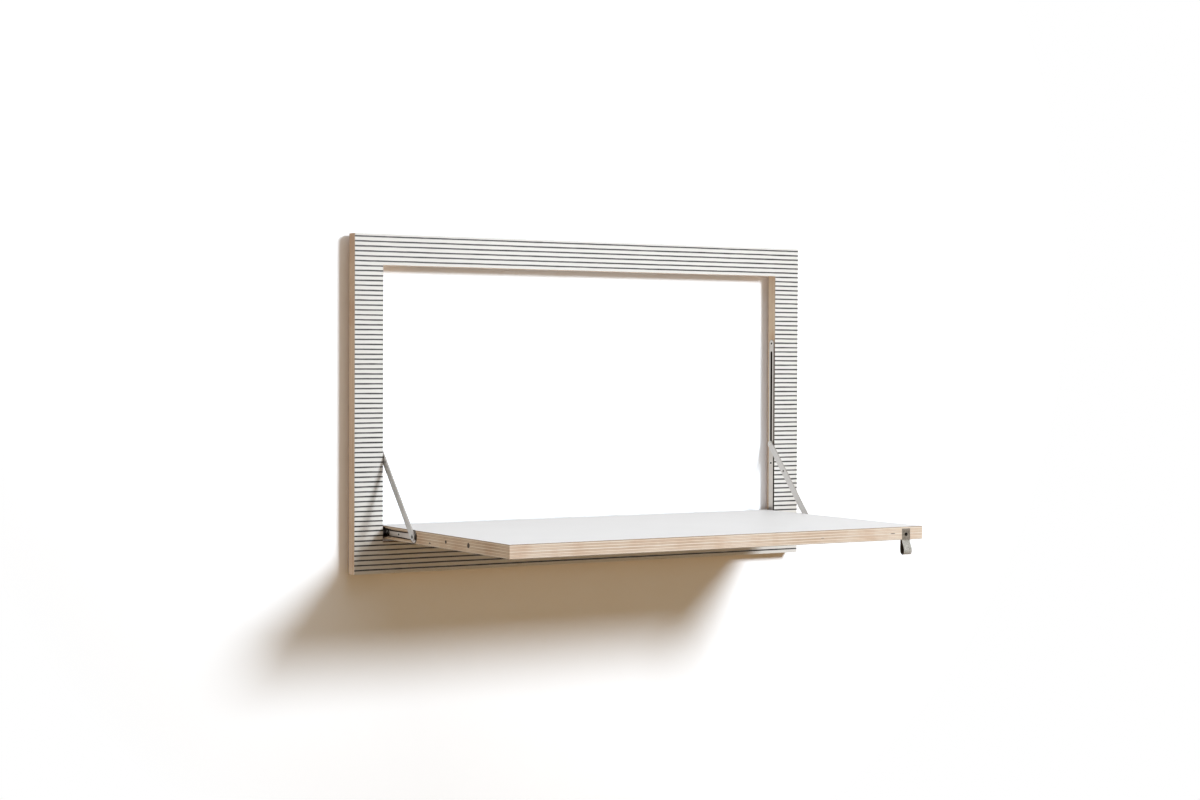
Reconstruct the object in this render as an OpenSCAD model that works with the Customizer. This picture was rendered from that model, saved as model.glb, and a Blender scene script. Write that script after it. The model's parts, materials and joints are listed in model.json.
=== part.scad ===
// Wall-mounted drop-front desk. Everything is in millimetres, +Z is up and +Y points into the wall.
// The origin is on the wall plane, midway along the line of the wall screws.
// It is drawn open, with the flap level, as it stands in use.

/* [Frame board] */
// Width of the frame, edge to edge
frame_w = 800; // [600:10:1100]
// Height of the frame, edge to edge
frame_h = 500; // [460:10:640]
// Width of the border around the window
border_w = 46; // [42:1:60]
// Thickness of the birch plywood core
core_t = 18; // [18:0.5:21]
// Thickness of each laminate skin
skin_t = 0.8; // [0.6:0.1:1.2]

/* [Flap] */
// Gap between the flap and the border at each side
side_gap = 3; // [2.8:0.1:5]
// Gap above the flap when it is shut
top_gap = 3; // [2:0.5:6]
// Gap under the flap when it is shut, which lets its corner swing past the border
bottom_gap = 5; // [4.5:0.5:8]

/* [Hinge and stay] */
// Distance from the hinge pin to the elbow rivet
arm_l = 105; // [85:1:120]
// Distance from the elbow rivet to the slide pin
strut_l = 158; // [140:1:175]
// Width of the strut
strut_w = 11; // [9:0.5:12]
// Thickness of the strut
strut_t = 2; // [1.5:0.1:2.2]
// Gap between the strut and the frame rail
strut_gap = 0.4; // [0.3:0.05:0.6]
// Distance from the slide pin down to the small hole in the strut
latch_drop = 57; // [40:1:80]
// Thickness of the steel strip of all four rails
strip_t = 2; // [2:0.1:2.4]
// Width of the frame rail
frame_rail_w = 12; // [11:0.5:13]
// Width of the flap rail
flap_rail_w = 10; // [9:0.5:11]
// Diameter of the flap rail's round eye at the elbow
eye_d = 17; // [14:0.5:18]
// Diameter of the hinge pin and of the elbow rivet
pin_d = 5; // [4:0.5:6]
// Diameter of the bush on the hinge pin
bush_d = 9; // [8:0.5:10]
// Width of the slot in the frame rail
slot_w = 5; // [4:0.5:6]
// Spare length of the slot above the slide pin when the flap is shut
slot_spare = 5; // [2:0.5:10]
// Distance from the slot's upper end to the top screw
top_land = 12.7; // [11:0.1:20]
// Distance from the slot's lower centre to the middle screw
mid_drop = 31; // [20:1:60]
// Clearance around each rail in its groove
groove_gap = 0.5; // [0.2:0.1:0.8]
// Distance from the hinge pin to the flap rail's outer screw
arm_screw = 56.5; // [50:0.5:72]
// Distance from the hinge pin to the flap rail's inner screw
leaf_screw = 13; // [12:0.5:15]
// Depth of the pocket for the hinge in the flap's edge
pocket_d = 4.6; // [4:0.1:7]
// Length of that pocket from the hinge pin
pocket_l = 35.8; // [34:0.2:44]
// Diameter of the round recess for the elbow
recess_d = 21; // [19:0.5:23]

/* [Catches] */
// Diameter of the magnet in each edge of the flap
magnet_d = 6; // [4:0.5:8]
// Length of the magnet
magnet_l = 8; // [4:0.5:12]
// Diameter of the latch stud
stud_d = 3.4; // [2.5:0.1:4]
// Diameter of the hole in the strut that the latch stud meets
latch_hole_d = 3.6; // [2.8:0.1:4.2]

/* [Pull strap] */
// Width of the felt strap
strap_w = 15; // [10:0.5:30]
// Thickness of the felt
felt_t = 2; // [1.5:0.1:2.3]
// Distance from the flap's right edge to the middle of the strap
strap_inset = 30.6; // [20:0.1:120]
// Length of the loop below the flap
loop_drop = 22; // [18:0.5:40]
// Depth of the loop from front to back
loop_depth = 9.4; // [9.4:0.2:16]

/* [Wall fixing] */
// Distance from the wall to the back of the frame
standoff = 8.4; // [8:0.1:12]
// Distance from the frame's side edge to the end of the hanging rails
cleat_inset = 100; // [50:10:150]
// Thickness of the hanging rails' metal
cleat_t = 2.6; // [2:0.1:2.6]
// Distance from the frame's top edge down to the wall screws
cleat_drop = 34; // [34:1:38]
// Overlap of the two hooks
hook_l = 8; // [6:0.5:8]
// Diameter of the wall screw holes
wall_hole_d = 4.5; // [4:0.1:6]
// Distance from the hanging rail's end to its outer wall screw hole
wall_hole_inset = 60; // [30:5:90]
// Distance from the hanging rail's end to the outer screw into the frame
cleat_screw_inset = 45; // [20:5:80]
// Height of the hanging rail's leaf on the frame
cleat_leaf_h = 13; // [12:0.5:14]
// Diameter of the rubber buffers
buffer_d = 24; // [16:1:30]
// Distance from the frame's side edge to each buffer's middle
buffer_inset = 30; // [20:1:40]

/* [Screws] */
// Shank diameter of the small screws
screw_d = 3.5; // [3:0.1:3.5]
// Head diameter of the small screws
head_d = 6.4; // [5.5:0.1:6.6]
// Length of the rail screws
rail_screw_l = 18; // [12:1:25]
// Length of the screws that go into the back of the board
back_screw_l = 15; // [10:1:16]
// Length of the strap's screw
strap_screw_l = 24; // [18:1:30]

/* [Hidden] */
$fn = 48;

// Clearances
fit_gap = 0.05;        // around a screw or a pin in its hole
run_gap = 0.1;         // between faces that slide past each other
slide_gap = 0.15;      // at each side of the slider's nose in the slot
tail_gap = 0.5;        // around the blind ends of the pins and rivets in the flap
cut = 1;               // how far a cutting shape runs past the face that it opens
sink_cut = 0.5;        // the same for a countersink
shy = 0.001;           // keeps a bar's straight sides just inside its round ends

// The board and the window
board_t = core_t + 2 * skin_t;
back_y = -standoff;
front_y = back_y - board_t;
mid_y = back_y - board_t / 2;
core_back_y = back_y - skin_t;
core_front_y = front_y + skin_t;
window_w = frame_w - 2 * border_w;
window_h = frame_h - 2 * border_w;
stile_x = window_w / 2;

// The flap, drawn open
flap_w = window_w - 2 * side_gap;
flap_l = window_h - top_gap - bottom_gap;
flap_x = flap_w / 2;
hinge_z = border_w + bottom_gap + board_t / 2;
flap_top_z = hinge_z + board_t / 2;
flap_low_z = hinge_z - board_t / 2;
flap_back_y = mid_y + board_t / 2;
flap_front_y = flap_back_y - flap_l;

// The linkage at each side: hinge, elbow and slide pin
elbow_y = mid_y - arm_l;
slide_low_z = hinge_z + sqrt(strut_l * strut_l - arm_l * arm_l);
slide_high_z = hinge_z + arm_l + strut_l;
slot_top_z = slide_high_z + slot_spare;
top_screw_z = slot_top_z + slot_w / 2 + top_land;
mid_screw_z = slide_low_z - mid_drop;
strut_out_x = stile_x - strut_gap;
strut_in_x = strut_out_x - strut_t;

// The flap rail, which steps inwards to its leaf in the hinge pocket
pocket_h = flap_rail_w + 3;
pocket_y = mid_y - pocket_l;
crank_y = pocket_y + 9;
leaf_y = crank_y + pocket_d;
eye_floor_x = flap_x - strip_t;
leaf_x = flap_x - pocket_d;
leaf_face_x = leaf_x + strip_t;
arm_screw_y = mid_y - arm_screw;
leaf_screw_y = mid_y - leaf_screw;

// The slider behind the slot, and the channel that it runs in
slider_w = slot_w + 2.4;
slider_h = 14;
slider_t = 4;
slider_pin_d = 2.5;
channel_gap = 0.4;
channel_w = slider_w + 2 * channel_gap;
channel_t = slider_t + channel_gap;
channel_over = slider_h / 2 + 2 * channel_gap;

// The widened foot of the frame rail's groove, up to just under the slot
relief_end = 4.8;
relief_top_z = slide_low_z - slot_w / 2 - frame_rail_w / 2;
relief_low_z = hinge_z - frame_rail_w / 2 - relief_end;
relief_d = strip_t + 1;

// Rivets and bush
bush_len = stile_x - leaf_face_x - run_gap;
pin_in_frame = 16;
pin_past_leaf = 3;
rivet_tail_t = 1.5;
rivet_tail_d = pin_d + 3;
rivet_hollow_d = pin_d - 2;
rivet_hollow_l = 2;
rivet_flare = 1.2;
washer_t = strut_in_x - flap_x - run_gap;
washer_d = 9;
slide_rivet_d = 4;
rivet_head_d = 7;
rivet_head_t = 0.4;

// Catches, measured from the hinge
magnet_arm = slot_top_z + slot_w / 2 + magnet_d / 2 - hinge_z;
stud_arm = arm_l + strut_l - latch_drop;
stud_l = 8;
stud_proud = 0.45;

// The pull strap
strap_x = flap_x - strap_inset;
neck_t = 2 * felt_t;
strap_gap = 0.2;       // between the strap and its notch
strap_in = 0.3;        // how far the strap lies behind the flap's front edge
strap_land = 3.2;      // wood and laminate left above the notch
strap_front_y = flap_front_y + strap_in;
strap_back_y = strap_front_y + neck_t;
strap_top_z = flap_top_z - strap_land;
strap_screw_z = (flap_low_z + strap_top_z) / 2;
slit = 0.3;            // gap between the two layers where they meet
loop_r = loop_depth / 2;
loop_y = strap_back_y - loop_r;
loop_z = flap_low_z - loop_drop + loop_r;
pan_d = 5;
pan_t = 1;
pan_socket = 0.7;

// The hanging rails, in heights above the wall screws
wall_screw_z = frame_h - cleat_drop;
cleat_l = frame_w - 2 * cleat_inset;
wall_pitch = (cleat_l - 2 * wall_hole_inset) / 3;
cleat_pitch = (cleat_l - 2 * cleat_screw_inset) / 3;
cleat_gap = (standoff - 3 * cleat_t) / 2;
cleat_half = 8;
lip_gap = 1;           // between the frame cleat's lip and the wall cleat's web
web_z = cleat_half;
seat_z = web_z + cleat_t + hook_l;
leaf_top_z = seat_z + cleat_leaf_h;
hook_out_y = -2 * (cleat_t + cleat_gap);
cleat_screw_z = (seat_z + cleat_t + leaf_top_z) / 2;

// The buffers at the foot of the frame
buffer_x = frame_w / 2 - buffer_inset;
buffer_z = border_w / 2;
buffer_well_d = head_d + 2;
buffer_floor = standoff / 2;

// Screw tips and sockets
screw_tip_d = 0.8;
socket_d = 2.4;
socket_l = 1.2;

// Heights are measured from the frame's lower edge, then set against the wall screws
module on_wall() {
    translate([0, 0, -wall_screw_z]) children();
}

// Draws a right-hand piece for side 1 and its mirror image for side -1
module at_side(side) {
    mirror([side < 0 ? 1 : 0, 0, 0]) children();
}

// Draws a piece at both sides
module at_both_sides() {
    at_side(1) children();
    at_side(-1) children();
}

// Extrudes a drawing of depth and height along X, from x, by t
module edgewise(x, t) {
    translate([x, 0, 0]) rotate([90, 0, 90]) linear_extrude(t) children();
}

// Bar of width w from point a to point b, with round ends
module bar(a, b, w) {
    straight_w = w - 2 * shy;
    angle = atan2(b[1] - a[1], b[0] - a[0]);
    translate(a) circle(d = w);
    translate(b) circle(d = w);
    translate(a) rotate(angle) translate([0, -straight_w / 2]) square([norm(b - a), straight_w]);
}

// Cylinder along X from x, by l, centred on depth y and height z
module x_rod(x, l, y, z, d) {
    translate([x, y, z]) rotate([0, 90, 0]) cylinder(h = l, d = d);
}

// Block given by its lowest and highest corner
module block(low, high) {
    translate(low) cube(high - low);
}

// Cone of 45 degrees under a head of diameter d at the origin; grow makes the hole for it
module countersink(d, depth, grow = 0) {
    over = grow > 0 ? sink_cut : 0;
    translate([0, 0, -over])
        cylinder(h = depth + over, d1 = d + 2 * (grow + over), d2 = d - 2 * depth + 2 * grow);
}

// Countersunk screw along +Z with its head at the origin; grow makes the hole for it
module screw(l, grow = 0) {
    flare = (head_d - screw_d) / 2;
    tip_z = l - screw_d;
    countersink(head_d, flare, grow);
    translate([0, 0, flare - 0.01]) cylinder(h = tip_z - flare + 0.01, d = screw_d + 2 * grow);
    translate([0, 0, tip_z]) cylinder(h = screw_d, d1 = screw_d + 2 * grow, d2 = screw_tip_d + 2 * grow);
}

// The same screw with the hexagon socket in its head
module socket_screw(l) {
    difference() {
        screw(l);
        translate([0, 0, -cut]) cylinder(h = socket_l + cut, d = socket_d, $fn = 6);
    }
}

// Places of the screws, each set so that +Z runs into the wood
module at_frame_rail_screws() {
    for (z = [top_screw_z, mid_screw_z])
        translate([stile_x, mid_y, z]) rotate([0, 90, 0]) children();
}

module at_flap_rail_screws() {
    translate([flap_x, arm_screw_y, hinge_z]) rotate([0, -90, 0]) children();
    translate([leaf_face_x, leaf_screw_y, hinge_z]) rotate([0, -90, 0]) children();
}

module at_cleat_screws() {
    for (i = [-1.5 : 1.5])
        translate([i * cleat_pitch, back_y + cleat_t, wall_screw_z + cleat_screw_z])
            rotate([90, 0, 0]) children();
}

module at_buffer_screws() {
    for (x = [-buffer_x, buffer_x])
        translate([x, back_y + buffer_floor, buffer_z]) rotate([90, 0, 0]) children();
}

// Window frame between two depths
module ring(y_low, y_high) {
    difference() {
        block([-frame_w / 2, y_low, 0], [frame_w / 2, y_high, frame_h]);
        block([-stile_x, y_low - cut, border_w], [stile_x, y_high + cut, frame_h - border_w]);
    }
}

// Everything that is cut out of one stile for the frame rail, slider and hinge pin
module stile_cuts() {
    groove_w = frame_rail_w + 2 * groove_gap;
    edgewise(stile_x - cut, strip_t + cut)
        bar([mid_y, hinge_z], [mid_y, top_screw_z], groove_w);
    block([stile_x - cut, core_front_y - cut, relief_low_z], [stile_x + relief_d, mid_y, relief_top_z]);
    edgewise(stile_x, strip_t + channel_t)
        bar([mid_y, slide_low_z - channel_over + channel_w / 2],
            [mid_y, slot_top_z + channel_over - channel_w / 2], channel_w);
    x_rod(stile_x - cut, pin_in_frame + cut + fit_gap, mid_y, hinge_z, pin_d + 2 * fit_gap);
    at_frame_rail_screws() screw(rail_screw_l, fit_gap);
}

module frame_core() {
    on_wall() color([0.87, 0.76, 0.62]) difference() {
        ring(core_front_y, core_back_y);
        at_both_sides() stile_cuts();
        at_cleat_screws() screw(back_screw_l, fit_gap);
        at_buffer_screws() screw(back_screw_l, fit_gap);
    }
}

module frame_face_laminate() {
    on_wall() color([0.93, 0.93, 0.93]) ring(front_y, core_front_y);
}

module frame_back_laminate() {
    on_wall() color([0.54, 0.40, 0.28]) difference() {
        ring(core_back_y, back_y);
        at_cleat_screws() screw(back_screw_l, fit_gap);
        at_buffer_screws() screw(back_screw_l, fit_gap);
    }
}

// One layer of the flap, between two heights
module flap_layer(z_low, z_high) {
    block([-flap_x, flap_front_y, z_low], [flap_x, flap_back_y, z_high]);
}

// The round recess at the elbow, deep enough for the rail's eye
module elbow_recess() {
    x_rod(eye_floor_x, strip_t + cut, elbow_y, hinge_z, recess_d);
}

// The notch in the flap's front edge that the strap lies in
module strap_notch() {
    half = strap_w / 2 + strap_gap;
    block([strap_x - half, flap_front_y - cut, flap_low_z - cut],
          [strap_x + half, strap_back_y + strap_gap, strap_top_z + strap_gap]);
}

// Everything that is cut out of one side of the flap for its rail, pivots and catches
module flap_side_cuts() {
    edgewise(eye_floor_x, strip_t + cut)
        bar([elbow_y, hinge_z], [crank_y, hinge_z], flap_rail_w + 2 * groove_gap);
    elbow_recess();
    edgewise(leaf_x, pocket_d + cut)
        bar([pocket_y + pocket_h / 2, hinge_z], [flap_back_y + pocket_h, hinge_z], pocket_h);
    x_rod(leaf_x - pin_past_leaf - cut, pin_past_leaf + 2 * cut, mid_y, hinge_z, pin_d + 2 * tail_gap);
    x_rod(eye_floor_x - rivet_tail_t - tail_gap, rivet_tail_t + tail_gap + cut,
          elbow_y, hinge_z, rivet_tail_d + 2 * tail_gap);
    x_rod(flap_x - magnet_l, magnet_l + cut, mid_y - magnet_arm, hinge_z, magnet_d + 2 * fit_gap);
    x_rod(flap_x - stud_l, stud_l + cut, mid_y - stud_arm, hinge_z, stud_d + 2 * fit_gap);
    at_flap_rail_screws() screw(rail_screw_l, fit_gap);
}

module flap_core() {
    on_wall() color([0.87, 0.76, 0.62]) difference() {
        flap_layer(flap_low_z + skin_t, flap_top_z - skin_t);
        at_both_sides() flap_side_cuts();
        strap_notch();
        strap_screw_hole();
    }
}

module desktop_laminate() {
    on_wall() color([0.92, 0.92, 0.93]) difference() {
        flap_layer(flap_top_z - skin_t, flap_top_z);
        at_both_sides() elbow_recess();
    }
}

module flap_face_laminate() {
    on_wall() color([0.93, 0.93, 0.93]) difference() {
        flap_layer(flap_low_z, flap_low_z + skin_t);
        at_both_sides() elbow_recess();
        strap_notch();
    }
}

// Slotted steel strip, let into the inner edge of a stile
module frame_rail(side) {
    on_wall() color([0.68, 0.67, 0.65]) at_side(side) difference() {
        edgewise(stile_x, strip_t)
            bar([mid_y, hinge_z], [mid_y, top_screw_z], frame_rail_w);
        edgewise(stile_x - cut, strip_t + 2 * cut)
            bar([mid_y, slide_low_z], [mid_y, slot_top_z], slot_w);
        x_rod(stile_x - cut, strip_t + 2 * cut, mid_y, hinge_z, pin_d + 2 * fit_gap);
        at_frame_rail_screws() screw(rail_screw_l, fit_gap);
    }
}

// Steel arm in the flap's edge: an eye at the elbow, a straight strip, a crank and the hinge leaf
module flap_rail(side) {
    half = flap_rail_w / 2;
    on_wall() color([0.68, 0.67, 0.65]) at_side(side) difference() {
        union() {
            edgewise(eye_floor_x, strip_t) union() {
                translate([elbow_y, hinge_z]) circle(d = eye_d);
                translate([elbow_y, hinge_z - half]) square([crank_y - elbow_y, flap_rail_w]);
            }
            translate([0, 0, hinge_z - half]) linear_extrude(flap_rail_w) polygon([
                [flap_x, crank_y - 0.01], [eye_floor_x, crank_y - 0.01],
                [leaf_x, leaf_y], [leaf_face_x, leaf_y]
            ]);
            edgewise(leaf_x, strip_t) union() {
                translate([mid_y, hinge_z]) circle(d = flap_rail_w);
                translate([leaf_y - 0.01, hinge_z - half]) square([mid_y - leaf_y + 0.01, flap_rail_w]);
            }
        }
        x_rod(leaf_x - cut, strip_t + 2 * cut, mid_y, hinge_z, pin_d + 2 * fit_gap);
        x_rod(eye_floor_x - cut, strip_t + 2 * cut, elbow_y, hinge_z, pin_d + 2 * fit_gap);
        at_flap_rail_screws() screw(rail_screw_l, fit_gap);
    }
}

// Flat steel strut from the elbow to the slot
module strut(side) {
    elbow = [elbow_y, hinge_z];
    slide = [mid_y, slide_low_z];
    hole = slide + (elbow - slide) * latch_drop / strut_l;
    on_wall() color([0.72, 0.71, 0.69]) at_side(side) difference() {
        edgewise(strut_in_x, strut_t) bar(elbow, slide, strut_w);
        elbow_hole();
        x_rod(strut_in_x - cut, strut_t + 2 * cut, mid_y, slide_low_z, slide_rivet_d + 2 * fit_gap);
        x_rod(strut_in_x - cut, strut_t + 2 * cut, hole[0], hole[1], latch_hole_d);
    }
}

// Hole in the strut for the elbow rivet, countersunk on the outer face
module elbow_hole() {
    r = pin_d / 2 + fit_gap;
    translate([strut_in_x, elbow_y, hinge_z]) rotate([0, 90, 0]) rotate_extrude() polygon([
        [0, -cut], [r, -cut], [r, strut_t - rivet_flare],
        [r + rivet_flare + cut, strut_t + cut], [0, strut_t + cut]
    ]);
}

// Hollow-ended rivet that joins the strut to the flap rail
module elbow_rivet(side) {
    low_x = eye_floor_x - rivet_tail_t;
    on_wall() color([0.6, 0.59, 0.58]) at_side(side) difference() {
        union() {
            x_rod(low_x, rivet_tail_t, elbow_y, hinge_z, rivet_tail_d);
            x_rod(low_x, strut_out_x - low_x, elbow_y, hinge_z, pin_d);
            translate([strut_out_x, elbow_y, hinge_z]) rotate([0, -90, 0])
                countersink(pin_d + 2 * rivet_flare, rivet_flare);
        }
        x_rod(strut_out_x - rivet_hollow_l, rivet_hollow_l + cut, elbow_y, hinge_z, rivet_hollow_d);
    }
}

// Thin washer between the flap rail and the strut
module elbow_washer(side) {
    on_wall() color([0.75, 0.74, 0.72]) at_side(side) difference() {
        x_rod(flap_x, washer_t, elbow_y, hinge_z, washer_d);
        x_rod(flap_x - cut, washer_t + 2 * cut, elbow_y, hinge_z, pin_d + 2 * fit_gap);
    }
}

// Rivet at the strut's upper end; it stops short of the slot, where the slider takes over
module strut_rivet(side) {
    tail_x = stile_x - fit_gap;
    on_wall() color([0.85, 0.84, 0.82]) at_side(side) {
        x_rod(strut_in_x - rivet_head_t, rivet_head_t, mid_y, slide_low_z, rivet_head_d);
        x_rod(strut_in_x - 0.01, tail_x - strut_in_x + 0.01, mid_y, slide_low_z, slide_rivet_d);
    }
}

// Nylon slider: a round-ended block behind the rail and a round nose in its slot
module slider(side) {
    half = (slider_h - slider_w) / 2;
    on_wall() color([0.15, 0.15, 0.15]) at_side(side) difference() {
        union() {
            edgewise(stile_x + strip_t + run_gap, slider_t)
                bar([mid_y, slide_low_z - half], [mid_y, slide_low_z + half], slider_w);
            x_rod(stile_x + run_gap, strip_t + 0.01, mid_y, slide_low_z, slot_w - 2 * slide_gap);
        }
        x_rod(stile_x, strip_t + slider_t, mid_y, slide_low_z, slider_pin_d + 2 * fit_gap);
    }
}

module slider_pin(side) {
    on_wall() color([0.75, 0.74, 0.72]) at_side(side)
        x_rod(stile_x + run_gap, strip_t + slider_t - run_gap - fit_gap, mid_y, slide_low_z, slider_pin_d);
}

// Hinge pin, fixed in the stile and the frame rail
module hinge_pin(side) {
    low_x = leaf_x - pin_past_leaf;
    on_wall() color([0.6, 0.59, 0.58]) at_side(side)
        x_rod(low_x, stile_x + pin_in_frame - low_x, mid_y, hinge_z, pin_d);
}

// Bush that keeps the flap rail and the frame rail apart
module hinge_bush(side) {
    on_wall() color([0.6, 0.59, 0.58]) at_side(side) difference() {
        x_rod(stile_x - bush_len, bush_len, mid_y, hinge_z, bush_d);
        x_rod(stile_x - bush_len - cut, bush_len + 2 * cut, mid_y, hinge_z, pin_d + 2 * fit_gap);
    }
}

// Steel studs in the flap's edges that meet the holes in the struts when it is shut
module latch_studs() {
    on_wall() color([0.2, 0.2, 0.2]) at_both_sides() {
        x_rod(flap_x - stud_l, stud_l, mid_y - stud_arm, hinge_z, stud_d);
        translate([flap_x - 0.01, mid_y - stud_arm, hinge_z]) rotate([0, 90, 0])
            cylinder(h = stud_proud + 0.01, d1 = stud_d, d2 = stud_d - 2 * stud_proud);
    }
}

// Magnets in the flap's edges; they hold against the frame rails when it is shut
module catch_magnets() {
    on_wall() color([0.55, 0.55, 0.56]) at_both_sides()
        x_rod(flap_x - magnet_l, magnet_l, mid_y - magnet_arm, hinge_z, magnet_d);
}

module frame_rail_screws() {
    on_wall() color([0.8, 0.79, 0.76]) at_both_sides() at_frame_rail_screws() socket_screw(rail_screw_l);
}

module flap_rail_screws() {
    on_wall() color([0.8, 0.79, 0.76]) at_both_sides() at_flap_rail_screws() socket_screw(rail_screw_l);
}

// Teardrop of radius r: its back is upright, and its front runs up to a neck
module teardrop(r, neck) {
    reach = flap_low_z - loop_z;
    touch = atan2(reach, r - neck) + acos(r / norm([r - neck, reach]));
    circle(r = r, $fn = 64);
    polygon([[0, 0], [r, 0], [r, reach], [r - neck, reach], r * [cos(touch), sin(touch)]]);
}

// Strip of felt folded into a loop, both ends lying in the notch
module pull_strap() {
    on_wall() color([0.70, 0.71, 0.70]) difference() {
        edgewise(strap_x - strap_w / 2, strap_w) difference() {
            union() {
                translate([loop_y, loop_z]) teardrop(loop_r, neck_t);
                translate([strap_front_y, flap_low_z - 0.01])
                    square([neck_t, strap_top_z - flap_low_z + 0.01]);
            }
            translate([loop_y, loop_z]) teardrop(loop_r - felt_t, slit);
        }
        strap_screw_hole();
    }
}

// The strap screw's hole in the strap and in the flap
module strap_screw_hole() {
    translate([strap_x, strap_front_y - cut, strap_screw_z]) rotate([-90, 0, 0])
        cylinder(h = strap_screw_l + cut + fit_gap, d = screw_d + 2 * fit_gap);
}

// Round-headed screw that holds the strap
module strap_screw() {
    tip_z = strap_screw_l - screw_d;
    on_wall() color([0.12, 0.12, 0.12])
        translate([strap_x, strap_front_y, strap_screw_z]) rotate([-90, 0, 0]) difference() {
            union() {
                translate([0, 0, -pan_t]) cylinder(h = pan_t, d = pan_d);
                translate([0, 0, -0.01]) cylinder(h = tip_z + 0.01, d = screw_d);
                translate([0, 0, tip_z]) cylinder(h = screw_d, d1 = screw_d, d2 = screw_tip_d);
            }
            translate([0, 0, -pan_t - cut]) cylinder(h = pan_socket + cut, d = socket_d, $fn = 6);
        }
}

// Hanging rail on the wall, a bent strip with its hook pointing up
module wall_cleat() {
    color([0.78, 0.79, 0.80]) difference() {
        edgewise(-cleat_l / 2, cleat_l) polygon([
            [0, -cleat_half], [0, web_z + cleat_t],
            [hook_out_y + cleat_t, web_z + cleat_t], [hook_out_y + cleat_t, seat_z],
            [hook_out_y, seat_z], [hook_out_y, web_z],
            [-cleat_t, web_z], [-cleat_t, -cleat_half]
        ]);
        for (i = [-1.5 : 1.5])
            translate([i * wall_pitch, cut, 0]) rotate([90, 0, 0])
                cylinder(h = cleat_t + 2 * cut, d = wall_hole_d);
    }
}

// Hanging rail on the frame, the same bend upside down, which rests on the other one's hook
module frame_cleat() {
    color([0.78, 0.79, 0.80]) difference() {
        edgewise(-cleat_l / 2, cleat_l) polygon([
            [-standoff, seat_z], [-standoff, leaf_top_z],
            [-standoff + cleat_t, leaf_top_z], [-standoff + cleat_t, seat_z + cleat_t],
            [-cleat_gap, seat_z + cleat_t], [-cleat_gap, seat_z - hook_l + lip_gap],
            [-cleat_gap - cleat_t, seat_z - hook_l + lip_gap], [-cleat_gap - cleat_t, seat_z]
        ]);
        on_wall() at_cleat_screws() screw(back_screw_l, fit_gap);
    }
}

module cleat_screws() {
    on_wall() color([0.8, 0.79, 0.76]) at_cleat_screws() socket_screw(back_screw_l);
}

// Rubber buffers that keep the foot of the frame off the wall
module wall_buffers() {
    on_wall() color([0.15, 0.15, 0.15]) difference() {
        for (x = [-buffer_x, buffer_x])
            translate([x, 0, buffer_z]) rotate([90, 0, 0]) difference() {
                cylinder(h = standoff, d = buffer_d);
                translate([0, 0, -cut]) cylinder(h = standoff - buffer_floor + cut, d = buffer_well_d);
            }
        at_buffer_screws() screw(back_screw_l, fit_gap);
    }
}

module buffer_screws() {
    on_wall() color([0.8, 0.79, 0.76]) at_buffer_screws() socket_screw(back_screw_l);
}

frame_core();
frame_face_laminate();
frame_back_laminate();
flap_core();
desktop_laminate();
flap_face_laminate();
frame_rail(-1);  // frame_rail_left
frame_rail(1);  // frame_rail_right
flap_rail(-1);  // flap_rail_left
flap_rail(1);  // flap_rail_right
strut(-1);  // strut_left
strut(1);  // strut_right
slider(-1);  // slider_left
slider(1);  // slider_right
slider_pin(-1);  // slider_pin_left
slider_pin(1);  // slider_pin_right
hinge_pin(-1);  // hinge_pin_left
hinge_pin(1);  // hinge_pin_right
hinge_bush(-1);  // hinge_bush_left
hinge_bush(1);  // hinge_bush_right
elbow_rivet(-1);  // elbow_rivet_left
elbow_rivet(1);  // elbow_rivet_right
elbow_washer(-1);  // elbow_washer_left
elbow_washer(1);  // elbow_washer_right
strut_rivet(-1);  // strut_rivet_left
strut_rivet(1);  // strut_rivet_right
latch_studs();
catch_magnets();
frame_rail_screws();
flap_rail_screws();
pull_strap();
strap_screw();
wall_cleat();
frame_cleat();
cleat_screws();
wall_buffers();
buffer_screws();
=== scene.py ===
# %% [markdown]
# # A wall-mounted drop-front desk
# This lesson dresses a small desk that folds down from the wall. Its shapes and its moving parts were
# built as exact solids first, so they are loaded here as a fixed frame: a window frame of plywood, a
# flap that is the desktop, two steel struts with their slotted rails, and the rails that hang it up.
# Blender adds what solids can't show: finishes, eased edges, the felt strap, light and the camera.
# Everything is in metres. +Z is up, +Y points into the wall, and the wall's surface is at Y = 0.

# %% Load the solid model
import json
from math import atan2, degrees, hypot, radians

import bpy
from mathutils import Matrix, Vector

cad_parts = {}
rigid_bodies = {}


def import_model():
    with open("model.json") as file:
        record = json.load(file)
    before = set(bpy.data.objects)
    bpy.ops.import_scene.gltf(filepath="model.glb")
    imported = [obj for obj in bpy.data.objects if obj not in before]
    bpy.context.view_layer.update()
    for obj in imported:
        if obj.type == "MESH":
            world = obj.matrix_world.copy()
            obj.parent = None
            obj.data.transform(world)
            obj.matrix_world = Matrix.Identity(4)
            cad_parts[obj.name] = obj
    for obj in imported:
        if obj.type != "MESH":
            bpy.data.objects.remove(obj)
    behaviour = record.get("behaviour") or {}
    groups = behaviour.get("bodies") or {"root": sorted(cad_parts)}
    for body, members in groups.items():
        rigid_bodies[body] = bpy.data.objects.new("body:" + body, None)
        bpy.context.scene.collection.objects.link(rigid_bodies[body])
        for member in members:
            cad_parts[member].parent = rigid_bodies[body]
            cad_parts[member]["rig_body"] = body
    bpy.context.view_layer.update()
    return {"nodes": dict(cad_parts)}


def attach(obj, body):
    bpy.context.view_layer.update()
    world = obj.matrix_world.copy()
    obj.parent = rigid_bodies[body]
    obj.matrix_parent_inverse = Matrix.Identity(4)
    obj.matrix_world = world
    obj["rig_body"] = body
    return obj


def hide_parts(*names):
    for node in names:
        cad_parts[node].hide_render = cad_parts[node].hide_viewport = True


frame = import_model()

nodes = frame["nodes"]

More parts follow.
